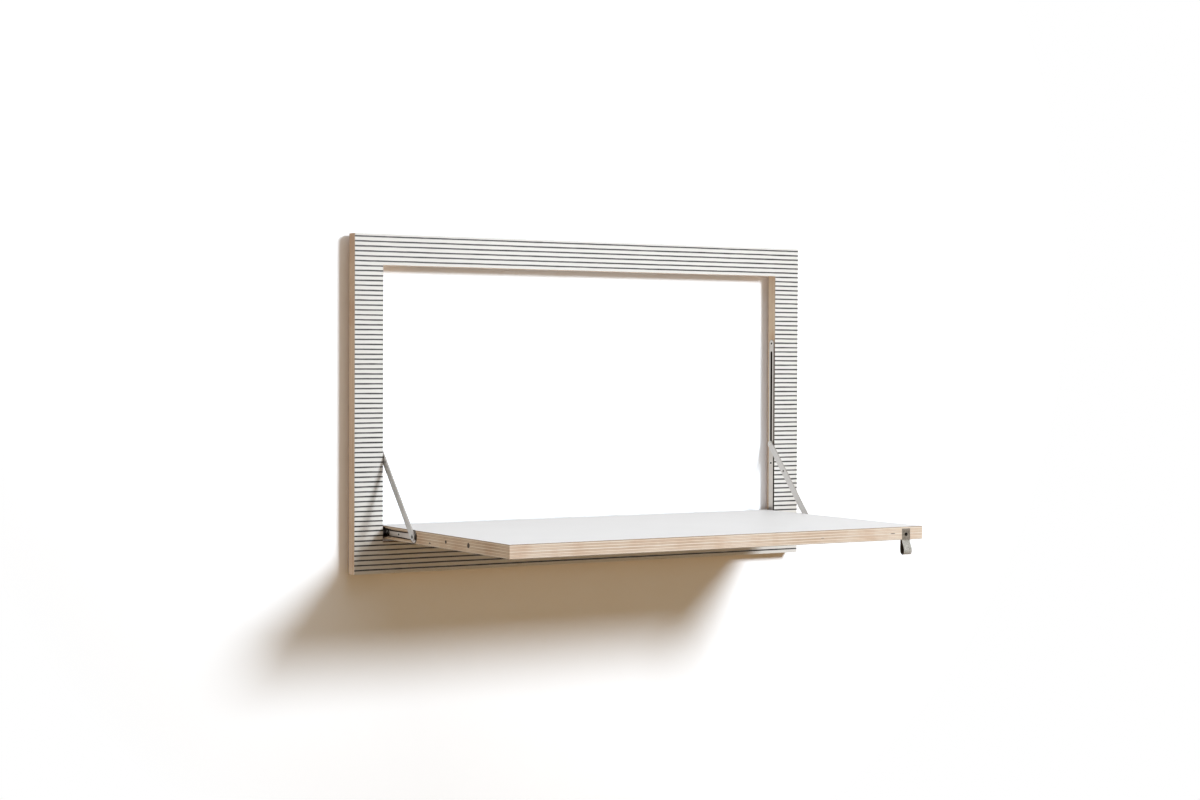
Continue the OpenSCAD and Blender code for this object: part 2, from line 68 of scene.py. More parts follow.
# %% [markdown]
# ## Camera
# The photograph was taken from the left of the desk and a little above the middle of its window. Its
# place and its lens follow from where the frame's corners and the flap's corners fall in the picture.
# The rotation is built as one would turn a real camera: first roll, then tilt, then the turn to the right.

# %% Camera
CAMERA_PLACE = (-1.7504, -2.9432, -0.1508)
TURN_RIGHT, TILT_UP, ROLL = 31.257, -1.037, 0.22    # degrees
camera = bpy.data.objects.new("camera", bpy.data.cameras.new("camera"))
bpy.context.collection.objects.link(camera)
camera.data.sensor_width = 36
camera.data.lens = 65.61
camera.matrix_world = (
    Matrix.Translation(CAMERA_PLACE)
    @ Matrix.Rotation(radians(-TURN_RIGHT), 4, "Z")
    @ Matrix.Rotation(radians(90 + TILT_UP), 4, "X")
    @ Matrix.Rotation(radians(ROLL), 4, "Z")
)
bpy.context.scene.camera = camera
bpy.context.scene.view_settings.view_transform = "Standard"
print("camera at", list(camera.location), "with a", camera.data.lens, "mm lens")

# %% [markdown]
# ## Helpers for materials
# Colours are picked on screen as hex values, which are sRGB, but shaders calculate in linear light, so
# one function converts them. The next adds a shader node, sets its options and fills its inputs: an
# input gets a number or a colour, or a link when it is given a node or one of a node's outputs. Inputs
# that share a name go by number: a Mix node's two colours are 6 and 7, and a Map Range reads from 1 to
# 2 and gives from 3 to 4. The third marks small places on a part by where they are on it, for dark
# recesses and flaws in the wood, and the last starts a material with nothing but its output.

# %% Colour and node helpers
def linear(hex_colour):
    """A #rrggbb colour as linear red, green, blue and alpha."""
    shares = [int(hex_colour[i:i + 2], 16) / 255 for i in (1, 3, 5)]
    return [s / 12.92 if s <= 0.04045 else ((s + 0.055) / 1.055) ** 2.4 for s in shares] + [1.0]


def add_node(tree, kind, options=None, inputs=None):
    """Adds a node to a tree. The keys of inputs are socket names or numbers."""
    node = tree.nodes.new(kind)
    for name, value in (options or {}).items():
        setattr(node, name, value)
    for name, value in (inputs or {}).items():
        if isinstance(value, bpy.types.Node):
            value = value.outputs[0]
        if isinstance(value, bpy.types.NodeSocket):
            tree.links.new(value, node.inputs[name])
        else:
            node.inputs[name].default_value = value
    return node


def marks(tree, place, spots):
    """1 inside any of these ellipsoids, each a centre and its three half sizes, and 0 outside."""
    found = 0.0
    for centre, half_sizes in spots:
        near = add_node(tree, "ShaderNodeMapping", {"vector_type": "TEXTURE"},
                        {"Vector": place, "Location": centre, "Scale": half_sizes})
        far = add_node(tree, "ShaderNodeVectorMath", {"operation": "LENGTH"}, {0: near})
        spot = add_node(tree, "ShaderNodeMath", {"operation": "LESS_THAN"},
                        {0: far.outputs["Value"], 1: 1.0})
        found = add_node(tree, "ShaderNodeMath", {"operation": "MAXIMUM"}, {0: spot, 1: found})
    return found


def empty_material(name):
    """A material with nothing but its output."""
    material = bpy.data.materials.new(name)
    material.use_nodes = True
    material.node_tree.nodes.clear()
    output = add_node(material.node_tree, "ShaderNodeOutputMaterial")
    return material, material.node_tree, output.inputs["Surface"]


print("laminate white is", [round(c, 3) for c in linear("#ecebe8")])

# %% [markdown]
# ## Studio
# The desk hangs on a white wall that is lit until it has no tone left, and only the shadow shows, in a
# brown grey. That brown comes from below, from a wooden floor outside the picture, and it is strongest
# where the flap hides everything above. So the camera sees wall and floor as plain white paint, a
# little past full white where the light reaches it and plain white far from the desk, while every
# other ray meets a softly glowing sheet: a white one for the wall, and a wood-brown one for the floor.
# The wall doesn't glow in the flap's shadow. Where the frame covers the wall it is open, so the narrow
# gap there stays dim, and a lamp from behind can light the desk's back, which the picture doesn't show.
# Seen from behind, wall and floor are clear, so that nothing hides the desk from any side.

# %% Paint for the wall and the floor
FADE_FROM, FADE_TO = 0.88, 1.02         # distance from the origin over which paint turns plain white
MIRRORED = (0.9, 0.9, 0.9, 1)           # what shiny surfaces see of wall and floor
OPEN_RIM = 0.006                        # how far inside the frame's edges the wall opens
FRAME_BOARDS = [(-0.377, -0.216, 0.023, 0.25), (0.377, -0.216, 0.023, 0.25),
                (0, 0.011, 0.4, 0.023), (0, -0.443, 0.4, 0.023)]
FLAP_SHADOW = [(0, -0.513, 0.4, 0.047), (0, -0.406, 0.354, 0.014)]     # below the frame, behind the flap


def in_boxes(tree, axes, boxes, rim=0.0):
    """1 inside these upright boxes, each given as its middle X and Z and half its width and height,
    and 0 outside and on a rim along their edges."""
    found = 0.0
    for middle_x, middle_z, half_w, half_h in boxes:
        across = add_node(tree, "ShaderNodeMath", {"operation": "COMPARE"},
                          {0: axes.outputs["X"], 1: middle_x, 2: half_w - rim})
        upright = add_node(tree, "ShaderNodeMath", {"operation": "COMPARE"},
                           {0: axes.outputs["Z"], 1: middle_z, 2: half_h - rim})
        both = add_node(tree, "ShaderNodeMath", {"operation": "MULTIPLY"}, {0: across, 1: upright})
        found = add_node(tree, "ShaderNodeMath", {"operation": "MAXIMUM"}, {0: both, 1: found})
    return found


def studio_white(name, seen_white, sent_colour, dark_boxes, open_boxes):
    """White paint as the camera sees it, which becomes plain white far away, a glowing sheet for all
    other rays, dark in the dark boxes, open in the open ones, and clear from behind."""
    material, tree, surface = empty_material(name)
    place = add_node(tree, "ShaderNodeTexCoord").outputs["Object"]
    axes = add_node(tree, "ShaderNodeSeparateXYZ", inputs={0: place})
    path = add_node(tree, "ShaderNodeLightPath")
    face = add_node(tree, "ShaderNodeNewGeometry")
    clear = add_node(tree, "ShaderNodeBsdfTransparent")
    paint = add_node(tree, "ShaderNodeBsdfDiffuse", inputs={"Color": seen_white})
    plain = add_node(tree, "ShaderNodeEmission", inputs={"Color": (1, 1, 1, 1)})
    reach = add_node(tree, "ShaderNodeVectorMath", {"operation": "LENGTH"}, {0: place})
    far = add_node(tree, "ShaderNodeMapRange", inputs={0: reach.outputs["Value"], 1: FADE_FROM, 2: FADE_TO})
    seen = add_node(tree, "ShaderNodeMixShader", inputs={0: far, 1: paint, 2: plain})
    unlit = in_boxes(tree, axes, dark_boxes + open_boxes)
    lit = add_node(tree, "ShaderNodeMath", {"operation": "SUBTRACT"}, {0: 1.0, 1: unlit})
    glow = add_node(tree, "ShaderNodeMix", {"data_type": "RGBA"},
                    {0: path.outputs["Is Glossy Ray"], 6: sent_colour, 7: MIRRORED})
    sheet = add_node(tree, "ShaderNodeEmission", inputs={"Color": glow.outputs[2], "Strength": lit})
    opening = in_boxes(tree, axes, open_boxes, OPEN_RIM)
    sent = add_node(tree, "ShaderNodeMixShader", inputs={0: opening, 1: sheet, 2: clear})
    front = add_node(tree, "ShaderNodeMixShader",
                     inputs={0: path.outputs["Is Camera Ray"], 1: sent, 2: seen})
    whole = add_node(tree, "ShaderNodeMixShader",
                     inputs={0: face.outputs["Backfacing"], 1: front, 2: clear})
    tree.links.new(whole.outputs[0], surface)
    return material


# These colours are linear already, because some of them pass 1.
wall_paint = studio_white(
    "white wall paint", (1.37, 1.425, 1.5, 1), (0.85, 0.80, 0.74, 1), FLAP_SHADOW, FRAME_BOARDS)
floor_paint = studio_white("white floor paint", (1.9, 1.9, 1.9, 1), (0.275, 0.15, 0.04, 1), [], [])
print("made", wall_paint.name, "and", floor_paint.name)

# %% [markdown]
# ## Wall and floor
# Each is one big face, and neither is part of the desk. The wall's face stands a hair behind the wall's
# real surface, so that it doesn't touch what hangs on it.

# %% Wall and floor
WALL_REACH, WALL_Y = 6.0, 0.0006
FLOOR_Z = -1.13             # the desktop stands about 73 cm above the floor


def stage_sheet(name, material, corners):
    """One big face, which isn't part of the desk."""
    mesh = bpy.data.meshes.new(name)
    mesh.from_pydata(corners, [], [(0, 1, 2, 3)])
    mesh.materials.append(material)
    sheet = bpy.data.objects.new(name, mesh)
    bpy.context.collection.objects.link(sheet)
    return sheet


wall = stage_sheet("stage_wall", wall_paint, [
    (-WALL_REACH, WALL_Y, FLOOR_Z), (WALL_REACH, WALL_Y, FLOOR_Z),
    (WALL_REACH, WALL_Y, WALL_REACH), (-WALL_REACH, WALL_Y, WALL_REACH)])
floor = stage_sheet("stage_floor", floor_paint, [
    (-WALL_REACH, -WALL_REACH, FLOOR_Z), (WALL_REACH, -WALL_REACH, FLOOR_Z),
    (WALL_REACH, WALL_Y, FLOOR_Z), (-WALL_REACH, WALL_Y, FLOOR_Z)])
for sheet in (wall, floor):
    print(sheet.name, "faces", list(sheet.data.polygons[0].normal))

# %% [markdown]
# ## Light
# The shadow on the wall says where the lamp stands. It falls to the left and down, but less so at the
# right end than at the left one, so the lamp is near: 1.6 m to the right, 4.2 m in front of the wall
# and 1.4 m up. The shadow's edge widens with its distance, as from a lamp about a metre across. A disc
# lamp at that place gives the same. It is a touch blue, against the floor's brown. The room's white
# walls fill the shadows, which the world does here, faint and warm, while the camera and all shiny
# surfaces see it white. A soft panel overhead brightens the desktop.
# The last lamp stands behind the wall and lights nothing but the desk's back.

# %% Lamps and world
DESK_MIDDLE = Vector((0, -0.1, -0.3))
LAMP_PLACE = Vector((1.63, -4.2, 1.37))
PANEL_PLACE = (0.2, -1.5, 1.9)
BEHIND_PLACE = (-0.7, 2.4, 0.9)
softbox = bpy.data.objects.new("softbox", bpy.data.lights.new("softbox", "AREA"))
softbox.data.shape = "DISK"
softbox.data.size = 1.08
softbox.data.energy = 168
softbox.data.color = (0.91, 0.96, 1.0)
softbox.location = LAMP_PLACE
softbox.rotation_euler = (DESK_MIDDLE - LAMP_PLACE).to_track_quat("-Z", "Y").to_euler()

panel = bpy.data.objects.new("overhead_panel", bpy.data.lights.new("overhead_panel", "AREA"))
panel.data.size = 2.4
panel.data.energy = 14.6
panel.location = PANEL_PLACE

behind = bpy.data.objects.new("lamp_behind_wall", bpy.data.lights.new("lamp_behind_wall", "AREA"))
behind.data.size = 1.6
behind.data.energy = 36
behind.location = BEHIND_PLACE
behind.rotation_euler = (DESK_MIDDLE - behind.location).to_track_quat("-Z", "Y").to_euler()
for lamp in (softbox, panel, behind):
    bpy.context.collection.objects.link(lamp)

world = bpy.data.worlds.new("studio")
bpy.context.scene.world = world
world.use_nodes = True
world.node_tree.nodes.clear()
path = add_node(world.node_tree, "ShaderNodeLightPath")
seen = add_node(world.node_tree, "ShaderNodeMath", {"operation": "MAXIMUM"},
                {0: path.outputs["Is Camera Ray"], 1: path.outputs["Is Glossy Ray"]})
level = add_node(world.node_tree, "ShaderNodeMix", {"data_type": "RGBA"},
                 {0: seen, 6: (0.18, 0.175, 0.158, 1), 7: (1, 1, 1, 1)})
sky = add_node(world.node_tree, "ShaderNodeBackground", inputs={"Color": level.outputs[2]})
add_node(world.node_tree, "ShaderNodeOutputWorld", inputs={"Surface": sky})
print("the softbox stands", round((LAMP_PLACE - DESK_MIDDLE).length, 2), "m from the desk")

# %% [markdown]
# ## Laminate
# The boards are faced with high-pressure laminate: paper and resin pressed into a thin hard sheet with
# a matt white surface. The press plate leaves a very fine grain, about half a millimetre, which breaks
# up reflections. It is drawn with noise on the bump, and a slow cloud of noise varies the roughness and
# the tone a little. On the frame and on the flap's outer face the sheet is printed with thin dark
# lines, 7.2 mm apart, which run on from one to the other when the desk is shut. They are slightly
# uneven, as brushed lines are, so noise moves them a little and varies their width. White and print
# reach only 0.15 mm into the sheet: below that it is brown paper, so its cut edge is a thin tan line.
# The back of the frame has a plain brown sheet, which keeps the board from warping.

# %% Laminate
WHITE, LINE, CUT = "#ecebe8", "#262423", "#a08c78"
LINE_PITCH, LINE_WIDTH = 0.0072, 0.0022
TOP_LINE_Z = 0.02969                    # height of the uppermost line on the frame
SWAY, RAGGED = 0.0009, 0.0007           # how far a line moves up and down, and its edge in and out
HINGE_Y, HINGE_Z = -0.0182, -0.4052     # the line that the flap turns about


def laminate(name, colour, cut_colour, depth, face_low, face_high):
    """Matt laminate sheet with the fine grain of its press plate. Its face is where the axis depth is
    between face_low and face_high, and the rest is its cut edge."""
    material, tree, surface = empty_material(name)
    place = add_node(tree, "ShaderNodeTexCoord").outputs["Object"]
    grain = add_node(tree, "ShaderNodeTexNoise", inputs={"Vector": place, "Scale": 1900, "Detail": 2})
    cloud = add_node(tree, "ShaderNodeTexNoise", inputs={"Vector": place, "Scale": 9, "Detail": 3})
    bump = add_node(tree, "ShaderNodeBump", inputs={"Strength": 0.12, "Distance": 0.0003, "Height": grain})
    rough = add_node(tree, "ShaderNodeMapRange", inputs={0: cloud, 3: 0.42, 4: 0.52})
    tone = add_node(tree, "ShaderNodeMapRange", inputs={0: cloud, 1: 0.3, 2: 0.7, 3: 0.0, 4: 1.0})
    white = add_node(tree, "ShaderNodeMix", {"data_type": "RGBA"},
                     {0: tone, 6: linear(colour), 7: [c * 0.985 for c in linear(colour)]})
    axes = add_node(tree, "ShaderNodeSeparateXYZ", inputs={0: place})
    low = add_node(tree, "ShaderNodeMath", {"operation": "GREATER_THAN"},
                   {0: axes.outputs[depth], 1: face_low})
    high = add_node(tree, "ShaderNodeMath", {"operation": "LESS_THAN"},
                    {0: axes.outputs[depth], 1: face_high})
    inside = add_node(tree, "ShaderNodeMath", {"operation": "MULTIPLY"}, {0: low, 1: high})
    sheet = add_node(tree, "ShaderNodeMix", {"data_type": "RGBA"},
                     {0: inside, 6: linear(cut_colour), 7: white.outputs[2]})
    shader = add_node(tree, "ShaderNodeBsdfPrincipled",
                      inputs={"Base Color": sheet.outputs[2], "Roughness": rough, "Normal": bump})
    tree.links.new(shader.outputs[0], surface)
    return material, tree, axes, white.outputs[2], sheet


def lined_laminate(name, up, shift, depth, face_low, face_high):
    """The same sheet with printed lines. up is the axis that points up when the desk is shut, with its
    sign, and shift is what brings it to the height there."""
    material, tree, axes, white, sheet = laminate(name, WHITE, CUT, depth, face_low, face_high)
    height = add_node(tree, "ShaderNodeMath", {"operation": "MULTIPLY_ADD"},
                      {0: axes.outputs[up[1]], 1: up[0], 2: shift})
    spot = add_node(tree, "ShaderNodeCombineXYZ", inputs={0: axes.outputs["X"], 1: height})
    sway_at = add_node(tree, "ShaderNodeVectorMath", {"operation": "MULTIPLY"}, {0: spot, 1: (13, 130, 1)})
    sway = add_node(tree, "ShaderNodeTexNoise", inputs={"Vector": sway_at, "Scale": 1, "Detail": 2})
    moved = add_node(tree, "ShaderNodeMath", {"operation": "MULTIPLY_ADD"}, {0: sway, 1: SWAY, 2: height})
    centred = add_node(tree, "ShaderNodeMath", {"operation": "SUBTRACT"},
                       {0: moved, 1: SWAY / 2 + TOP_LINE_Z})
    away = add_node(tree, "ShaderNodeMath", {"operation": "PINGPONG"}, {0: centred, 1: LINE_PITCH / 2})
    ragged_at = add_node(tree, "ShaderNodeVectorMath", {"operation": "MULTIPLY"},
                         {0: spot, 1: (45, 300, 1)})
    ragged = add_node(tree, "ShaderNodeTexNoise", inputs={"Vector": ragged_at, "Scale": 1, "Detail": 3})
    edge = add_node(tree, "ShaderNodeMath", {"operation": "MULTIPLY_ADD"}, {0: ragged, 1: -RAGGED, 2: away})
    line = add_node(tree, "ShaderNodeMapRange", {"interpolation_type": "SMOOTHSTEP"},
                    {0: edge, 1: LINE_WIDTH / 2 - 0.0005, 2: LINE_WIDTH / 2 - 0.0002, 3: 1.0, 4: 0.0})
    printed = add_node(tree, "ShaderNodeMix", {"data_type": "RGBA"}, {0: line, 6: white, 7: linear(LINE)})
    tree.links.new(printed.outputs[2], sheet.inputs[7])
    return material


desktop_white = laminate("matt white laminate, desktop", "#f2f3f6", CUT, "Z", -0.39555, -0.39)[0]
back_brown = laminate("brown backing laminate", "#8a6647", "#6b4a33", "Y", -0.00855, -0.008)[0]
lined_frame = lined_laminate("lined white laminate, frame", (1, "Z"), 0.0, "Y", -0.03, -0.02785)
lined_flap = lined_laminate(
    "lined white laminate, flap", (-1, "Y"), HINGE_Y + HINGE_Z, "Z", -0.42, -0.41485)
print(round(0.5 / LINE_PITCH), "lines over the height of the frame")

# %% [markdown]
# ## Birch plywood
# Birch plywood is glued from thin sheets whose grain crosses at each layer, so a sawn edge shows bands:
# some sheets show long fibres, which are pale, and the ones between show cut fibre ends, which take the
# oil and look browner. Real sheets are about 1.4 mm; here the bands are 2 mm, because thinner ones
# would vanish at this distance. A thin brown line of glue lies between them. Noise that is stretched
# along the board draws the fibres, slower noise changes the tone along the edge, and the bands waver
# and fade a little. The frame is layered from front to back, and the flap from bottom to top. The
# window's sides are painted lighter, as painted light that the desktop throws on them, and the flap's
# side edges have a faint tint, as the picture shows them. Dark spots of painted shade are laid over
# this: on the strip in front of each frame rail, for the gap beside the rail, in the channel behind each
# slot, in the pocket round each hinge and on the rim round each hole for studs and magnets. Three small
# gaps in the flap's inner sheets are dark spots too.

# %% Birch plywood
SHEET = 0.002                           # thickness of a drawn sheet
WAVER = 0.0008                          # how far the bands waver
WINDOW_X, FLAP_X = 0.354, 0.351         # the window's sides and the flap's side edges, left and right
FLAP_FRONT_Y = -0.4084


def birch_edge(name, depth, core_low, pale, tan, brown, side_x, painted_light_share, side_tint, dark_spots):
    """Oiled plywood edge, layered along the axis depth from core_low, in three tones. The faces at
    side_x, left and right, are painted lighter by a share of the tones' range, as painted light, and
    tinted."""
    material, tree, surface = empty_material(name)
    place = add_node(tree, "ShaderNodeTexCoord").outputs["Object"]
    axes = add_node(tree, "ShaderNodeSeparateXYZ", inputs={0: place})
    stretch = (14, 850, 14) if depth == "Y" else (14, 14, 850)      # fibres some 70 mm by 1.2 mm
    fibre_at = add_node(tree, "ShaderNodeVectorMath", {"operation": "MULTIPLY"}, {0: place, 1: stretch})
    fibre = add_node(tree, "ShaderNodeTexNoise",
                     inputs={"Vector": fibre_at, "Scale": 1, "Detail": 4, "Roughness": 0.6})
    waver = add_node(tree, "ShaderNodeTexNoise", inputs={"Vector": place, "Scale": 16, "Detail": 2})
    from_low = add_node(tree, "ShaderNodeMath", {"operation": "SUBTRACT"},
                        {0: axes.outputs[depth], 1: core_low})
    wavered = add_node(tree, "ShaderNodeMath", {"operation": "MULTIPLY_ADD"},
                       {0: waver, 1: WAVER, 2: from_low})
    sheets = add_node(tree, "ShaderNodeMath", {"operation": "DIVIDE"}, {0: wavered, 1: SHEET})
    number = add_node(tree, "ShaderNodeMath", {"operation": "FLOOR"}, {0: sheets})
    odd = add_node(tree, "ShaderNodeMath", {"operation": "PINGPONG"}, {0: number, 1: 1.0})
    own = add_node(tree, "ShaderNodeTexWhiteNoise", {"noise_dimensions": "1D"}, {"W": number})
    fade = add_node(tree, "ShaderNodeTexNoise", inputs={"Vector": place, "Scale": 9, "Detail": 2})
    strength = add_node(tree, "ShaderNodeMapRange", inputs={0: fade, 1: 0.35, 2: 0.65, 3: 0.35, 4: 0.95})
    softer = add_node(tree, "ShaderNodeMath", {"operation": "MULTIPLY"}, {0: odd, 1: strength})
    band = add_node(tree, "ShaderNodeMath", {"operation": "MULTIPLY_ADD"},
                    {0: own.outputs["Value"], 1: 0.35, 2: softer})
    toned = add_node(tree, "ShaderNodeMath", {"operation": "MULTIPLY_ADD"}, {0: fibre, 1: 0.9, 2: band})
    out = add_node(tree, "ShaderNodeMath", {"operation": "ABSOLUTE"}, {0: axes.outputs["X"]})
    side = add_node(tree, "ShaderNodeMath", {"operation": "COMPARE"}, {0: out, 1: side_x, 2: 0.0005})
    # Painted light: the faces at side_x are made lighter, for the light thrown on them from nearby.
    toned = add_node(tree, "ShaderNodeMath", {"operation": "MULTIPLY_ADD"}, {0: side, 1: -painted_light_share, 2: toned})
    shade = add_node(tree, "ShaderNodeMapRange", inputs={0: toned, 1: 0.35, 2: 1.75})
    wood = add_node(tree, "ShaderNodeValToRGB", inputs={0: shade})
    wood.color_ramp.elements[0].color = linear(pale)
    wood.color_ramp.elements[1].color = linear(brown)
    middle = wood.color_ramp.elements.new(0.45)
    middle.color = linear(tan)
    within = add_node(tree, "ShaderNodeMath", {"operation": "PINGPONG"}, {0: sheets, 1: 0.5})
    glue = add_node(tree, "ShaderNodeMapRange", inputs={0: within, 1: 0.05, 2: 0.13, 3: 0.7, 4: 0.0})
    layered = add_node(tree, "ShaderNodeMix", {"data_type": "RGBA"},
                       {0: glue, 6: wood, 7: linear("#8a5f3f")})
    patch_at = add_node(tree, "ShaderNodeVectorMath", {"operation": "MULTIPLY"},
                        {0: place, 1: (22, 22, 22)})
    patch = add_node(tree, "ShaderNodeTexNoise", inputs={"Vector": patch_at, "Scale": 1, "Detail": 3})
    amount = add_node(tree, "ShaderNodeMapRange", inputs={0: patch, 1: 0.45, 2: 0.72, 3: 0.0, 4: 0.45})
    whole = add_node(tree, "ShaderNodeMix", {"data_type": "RGBA", "blend_type": "MULTIPLY"},
                     {0: amount, 6: layered.outputs[2], 7: linear("#d9b491")})
    tinted = add_node(tree, "ShaderNodeMix", {"data_type": "RGBA", "blend_type": "MULTIPLY"},
                      {0: side, 6: whole.outputs[2], 7: linear(side_tint)})
    spotted = add_node(tree, "ShaderNodeMix", {"data_type": "RGBA"},
                       {0: marks(tree, place, dark_spots), 6: tinted.outputs[2], 7: linear("#432c1e")})
    bump = add_node(tree, "ShaderNodeBump", inputs={"Strength": 0.25, "Distance": 0.0002, "Height": fibre})
    shader = add_node(tree, "ShaderNodeBsdfPrincipled",
                      inputs={"Base Color": spotted.outputs[2], "Roughness": 0.55, "Normal": bump})
    tree.links.new(shader.outputs[0], surface)
    return material


# Painted shade: the strip in front of each frame rail, the channel behind each slot, the pocket round each
# hinge and the rim round each stud and magnet hole. Then three small dark gaps in the flap's inner sheets.
rail_gap_shade = [((x, -0.0257, -0.27), (0.008, 0.003, 0.156)) for x in (-WINDOW_X, WINDOW_X)]
slot_channel_shade = [((x, HINGE_Y, -0.25), (0.0061, 0.02, 0.3)) for x in (-0.3604, 0.3604)]
hinge_pocket_shade = [((x, HINGE_Y, HINGE_Z), (0.008, 0.023, 0.0085)) for x in (-FLAP_X, FLAP_X)]
hole_rim_shade = [((x, y, HINGE_Z), (0.002, radius, radius)) for x in (-FLAP_X, FLAP_X)
        for y, radius in ((-0.2242, 0.0024), (-0.2917, 0.0037))]
voids = [((-FLAP_X, -0.1745, -0.4106), (0.002, 0.0032, 0.001)),
         ((0.2955, FLAP_FRONT_Y, -0.4050), (0.0042, 0.002, 0.00045)),
         ((0.166, FLAP_FRONT_Y, -0.4068), (0.003, 0.002, 0.00045))]
# The window's sides get painted light, 0.8 of the tones' range lighter.
frame_birch = birch_edge(
    "oiled birch plywood, frame", "Y", -0.0272, "#eddac0", "#dcbf9d", "#b8906a",
    WINDOW_X, 0.8, "#ffffff", rail_gap_shade + slot_channel_shade)
flap_birch = birch_edge(
    "oiled birch plywood, flap", "Z", -0.4142, "#f9efe3", "#efdecb", "#ccb197",
    FLAP_X, 0.0, "#f2ede1", voids + hinge_pocket_shade + hole_rim_shade)
print("made", frame_birch.name, "and", flap_birch.name)

# %% [markdown]
# ## Metals
# The struts and rails are satin stainless strip, rubbed lengthwise with a fine belt. That leaves
# parallel scratches about a tenth of a millimetre wide; they are drawn at half a millimetre, the least
# that shows. The scratches have to follow each strip, so a Mapping node turns the pattern to it. The
# struts' narrow edges are sheared, and duller, and their darker colour is partly painted shade. The
# pins, bushes and elbow rivets are turned steel, the screws, washers and strut rivets have a bright
# zinc plate, and the studs and the strap's screw are blackened; the same black is painted shade on the
# rails' narrow faces and in the right strut's small hole. The magnets are plated with nickel, which the
# picture shows brown; that dark brown is painted shade, as in a recess. The hanging rails are extruded
# aluminium as it comes from the mill. All are metals, so metallic is 1 and the IOR stays as it is;
# they differ in colour, in roughness and in their scratches. Dark spots of painted shade sit in the
# socket of each rail screw's head and in the hollow end of each elbow rivet, and on the flap rails: at
# the hinge, on the eye where the strut's end turns and along both edges, where the rail lies in its
# groove.

# %% Metals
def satin_metal(name, colour, rough, turn=(0, 0, 0), stretch=(60, 60, 2000), depth=0.12, dark_spots=()):
    """Metal with fine scratches. The pattern is turned first, and runs along its own X and Y. stretch
    is how often it repeats in a metre along each axis."""
    material, tree, surface = empty_material(name)
    place = add_node(tree, "ShaderNodeTexCoord").outputs["Object"]
    turned = add_node(tree, "ShaderNodeMapping", {"vector_type": "TEXTURE"},
                      {"Vector": place, "Rotation": turn})
    drawn = add_node(tree, "ShaderNodeVectorMath", {"operation": "MULTIPLY"}, {0: turned, 1: stretch})
    scratch = add_node(tree, "ShaderNodeTexNoise", inputs={"Vector": drawn, "Scale": 1, "Detail": 3})
    dull = add_node(tree, "ShaderNodeTexNoise", inputs={"Vector": place, "Scale": 45, "Detail": 3})
    both = add_node(tree, "ShaderNodeMath", {"operation": "MULTIPLY_ADD"}, {0: dull, 1: 0.5, 2: scratch})
    tone = add_node(tree, "ShaderNodeMapRange", inputs={0: both, 1: 0.5, 2: 1.0, 3: 0.0, 4: 1.0})
    metal = add_node(tree, "ShaderNodeMix", {"data_type": "RGBA"},
                     {0: tone, 6: [c * 0.84 for c in linear(colour)[:3]] + [1], 7: linear(colour)})
    spotted = add_node(tree, "ShaderNodeMix", {"data_type": "RGBA"},
                       {0: marks(tree, place, dark_spots), 6: metal.outputs[2], 7: linear("#2c211a")})
    gloss = add_node(tree, "ShaderNodeMapRange",
                     inputs={0: both, 1: 0.5, 2: 1.0, 3: rough - 0.06, 4: rough + 0.08})
    bump = add_node(tree, "ShaderNodeBump",
                    inputs={"Strength": depth, "Distance": 0.0001, "Height": scratch})
    shader = add_node(tree, "ShaderNodeBsdfPrincipled", inputs={
        "Base Color": spotted.outputs[2], "Metallic": 1.0, "Roughness": gloss, "Normal": bump})
    tree.links.new(shader.outputs[0], surface)
    return material


ELBOW_Y = -0.1232                       # the elbow's place in front of the wall, at the hinge's height
STRUT_SLOPE = atan2(0.11806, 0.105)     # the strut's rise from the elbow to the slide pin
THROUGH = 1                             # half a size that reaches across the whole desk
# Painted shade: in the socket of each rail screw's head and the hollow end of each elbow rivet, and on the
# flap rails in the hinge pocket, round the eye where the strut's end turns, and along both edges where the
# rail lies in its groove.
screw_socket_shade = [((0, y, z), (THROUGH, 0.0025, 0.0019)) for y, z in (
    (HINGE_Y, -0.1220), (HINGE_Y, -0.31814), (-0.0747, HINGE_Z), (-0.0312, HINGE_Z))]
rivet_hollow_shade = [((0, ELBOW_Y, HINGE_Z), (THROUGH, 0.0018, 0.0018))]
flap_rail_shade = [((0, -0.1345, HINGE_Z), (THROUGH, 0.0068, 0.0095)),
           ((0, HINGE_Y, HINGE_Z), (THROUGH, 0.0215, 0.01)),
           ((0, -0.066, HINGE_Z + 0.0053), (THROUGH, 0.06, 0.0022)),
           ((0, -0.066, HINGE_Z - 0.0053), (THROUGH, 0.06, 0.0022))]
frame_rail_steel = satin_metal("satin stainless strip, upright", "#d3cdc6", 0.34, (0, radians(90), 0))
flap_rail_steel = satin_metal("satin stainless strip, level", "#d8cfc8", 0.34, dark_spots=flap_rail_shade)
strut_steel = satin_metal("satin stainless strip, strut", "#d8d5d2", 0.32, (STRUT_SLOPE, 0, 0))
# Sheared and duller edge; its darker colour is partly painted shade on the struts' narrow faces.
sheared_steel_with_painted_shade = satin_metal("sheared steel edge", "#aaa6a1", 0.5, stretch=(1500, 1500, 1500), depth=0.2)
screw_plate = satin_metal(
    "bright zinc plate, rail screws", "#f1eee8", 0.24, stretch=(700, 700, 700), depth=0.05,
    dark_spots=screw_socket_shade)
turned_steel = satin_metal(
    "turned steel", "#a5a29e", 0.3, stretch=(1500, 1500, 1500), depth=0.05, dark_spots=rivet_hollow_shade)
zinc_plate = satin_metal("bright zinc plate", "#dddbd5", 0.24, stretch=(700, 700, 700), depth=0.05)
black_steel_and_painted_shade = satin_metal("blackened steel", "#211e1c", 0.45, stretch=(900, 900, 900), depth=0.2)
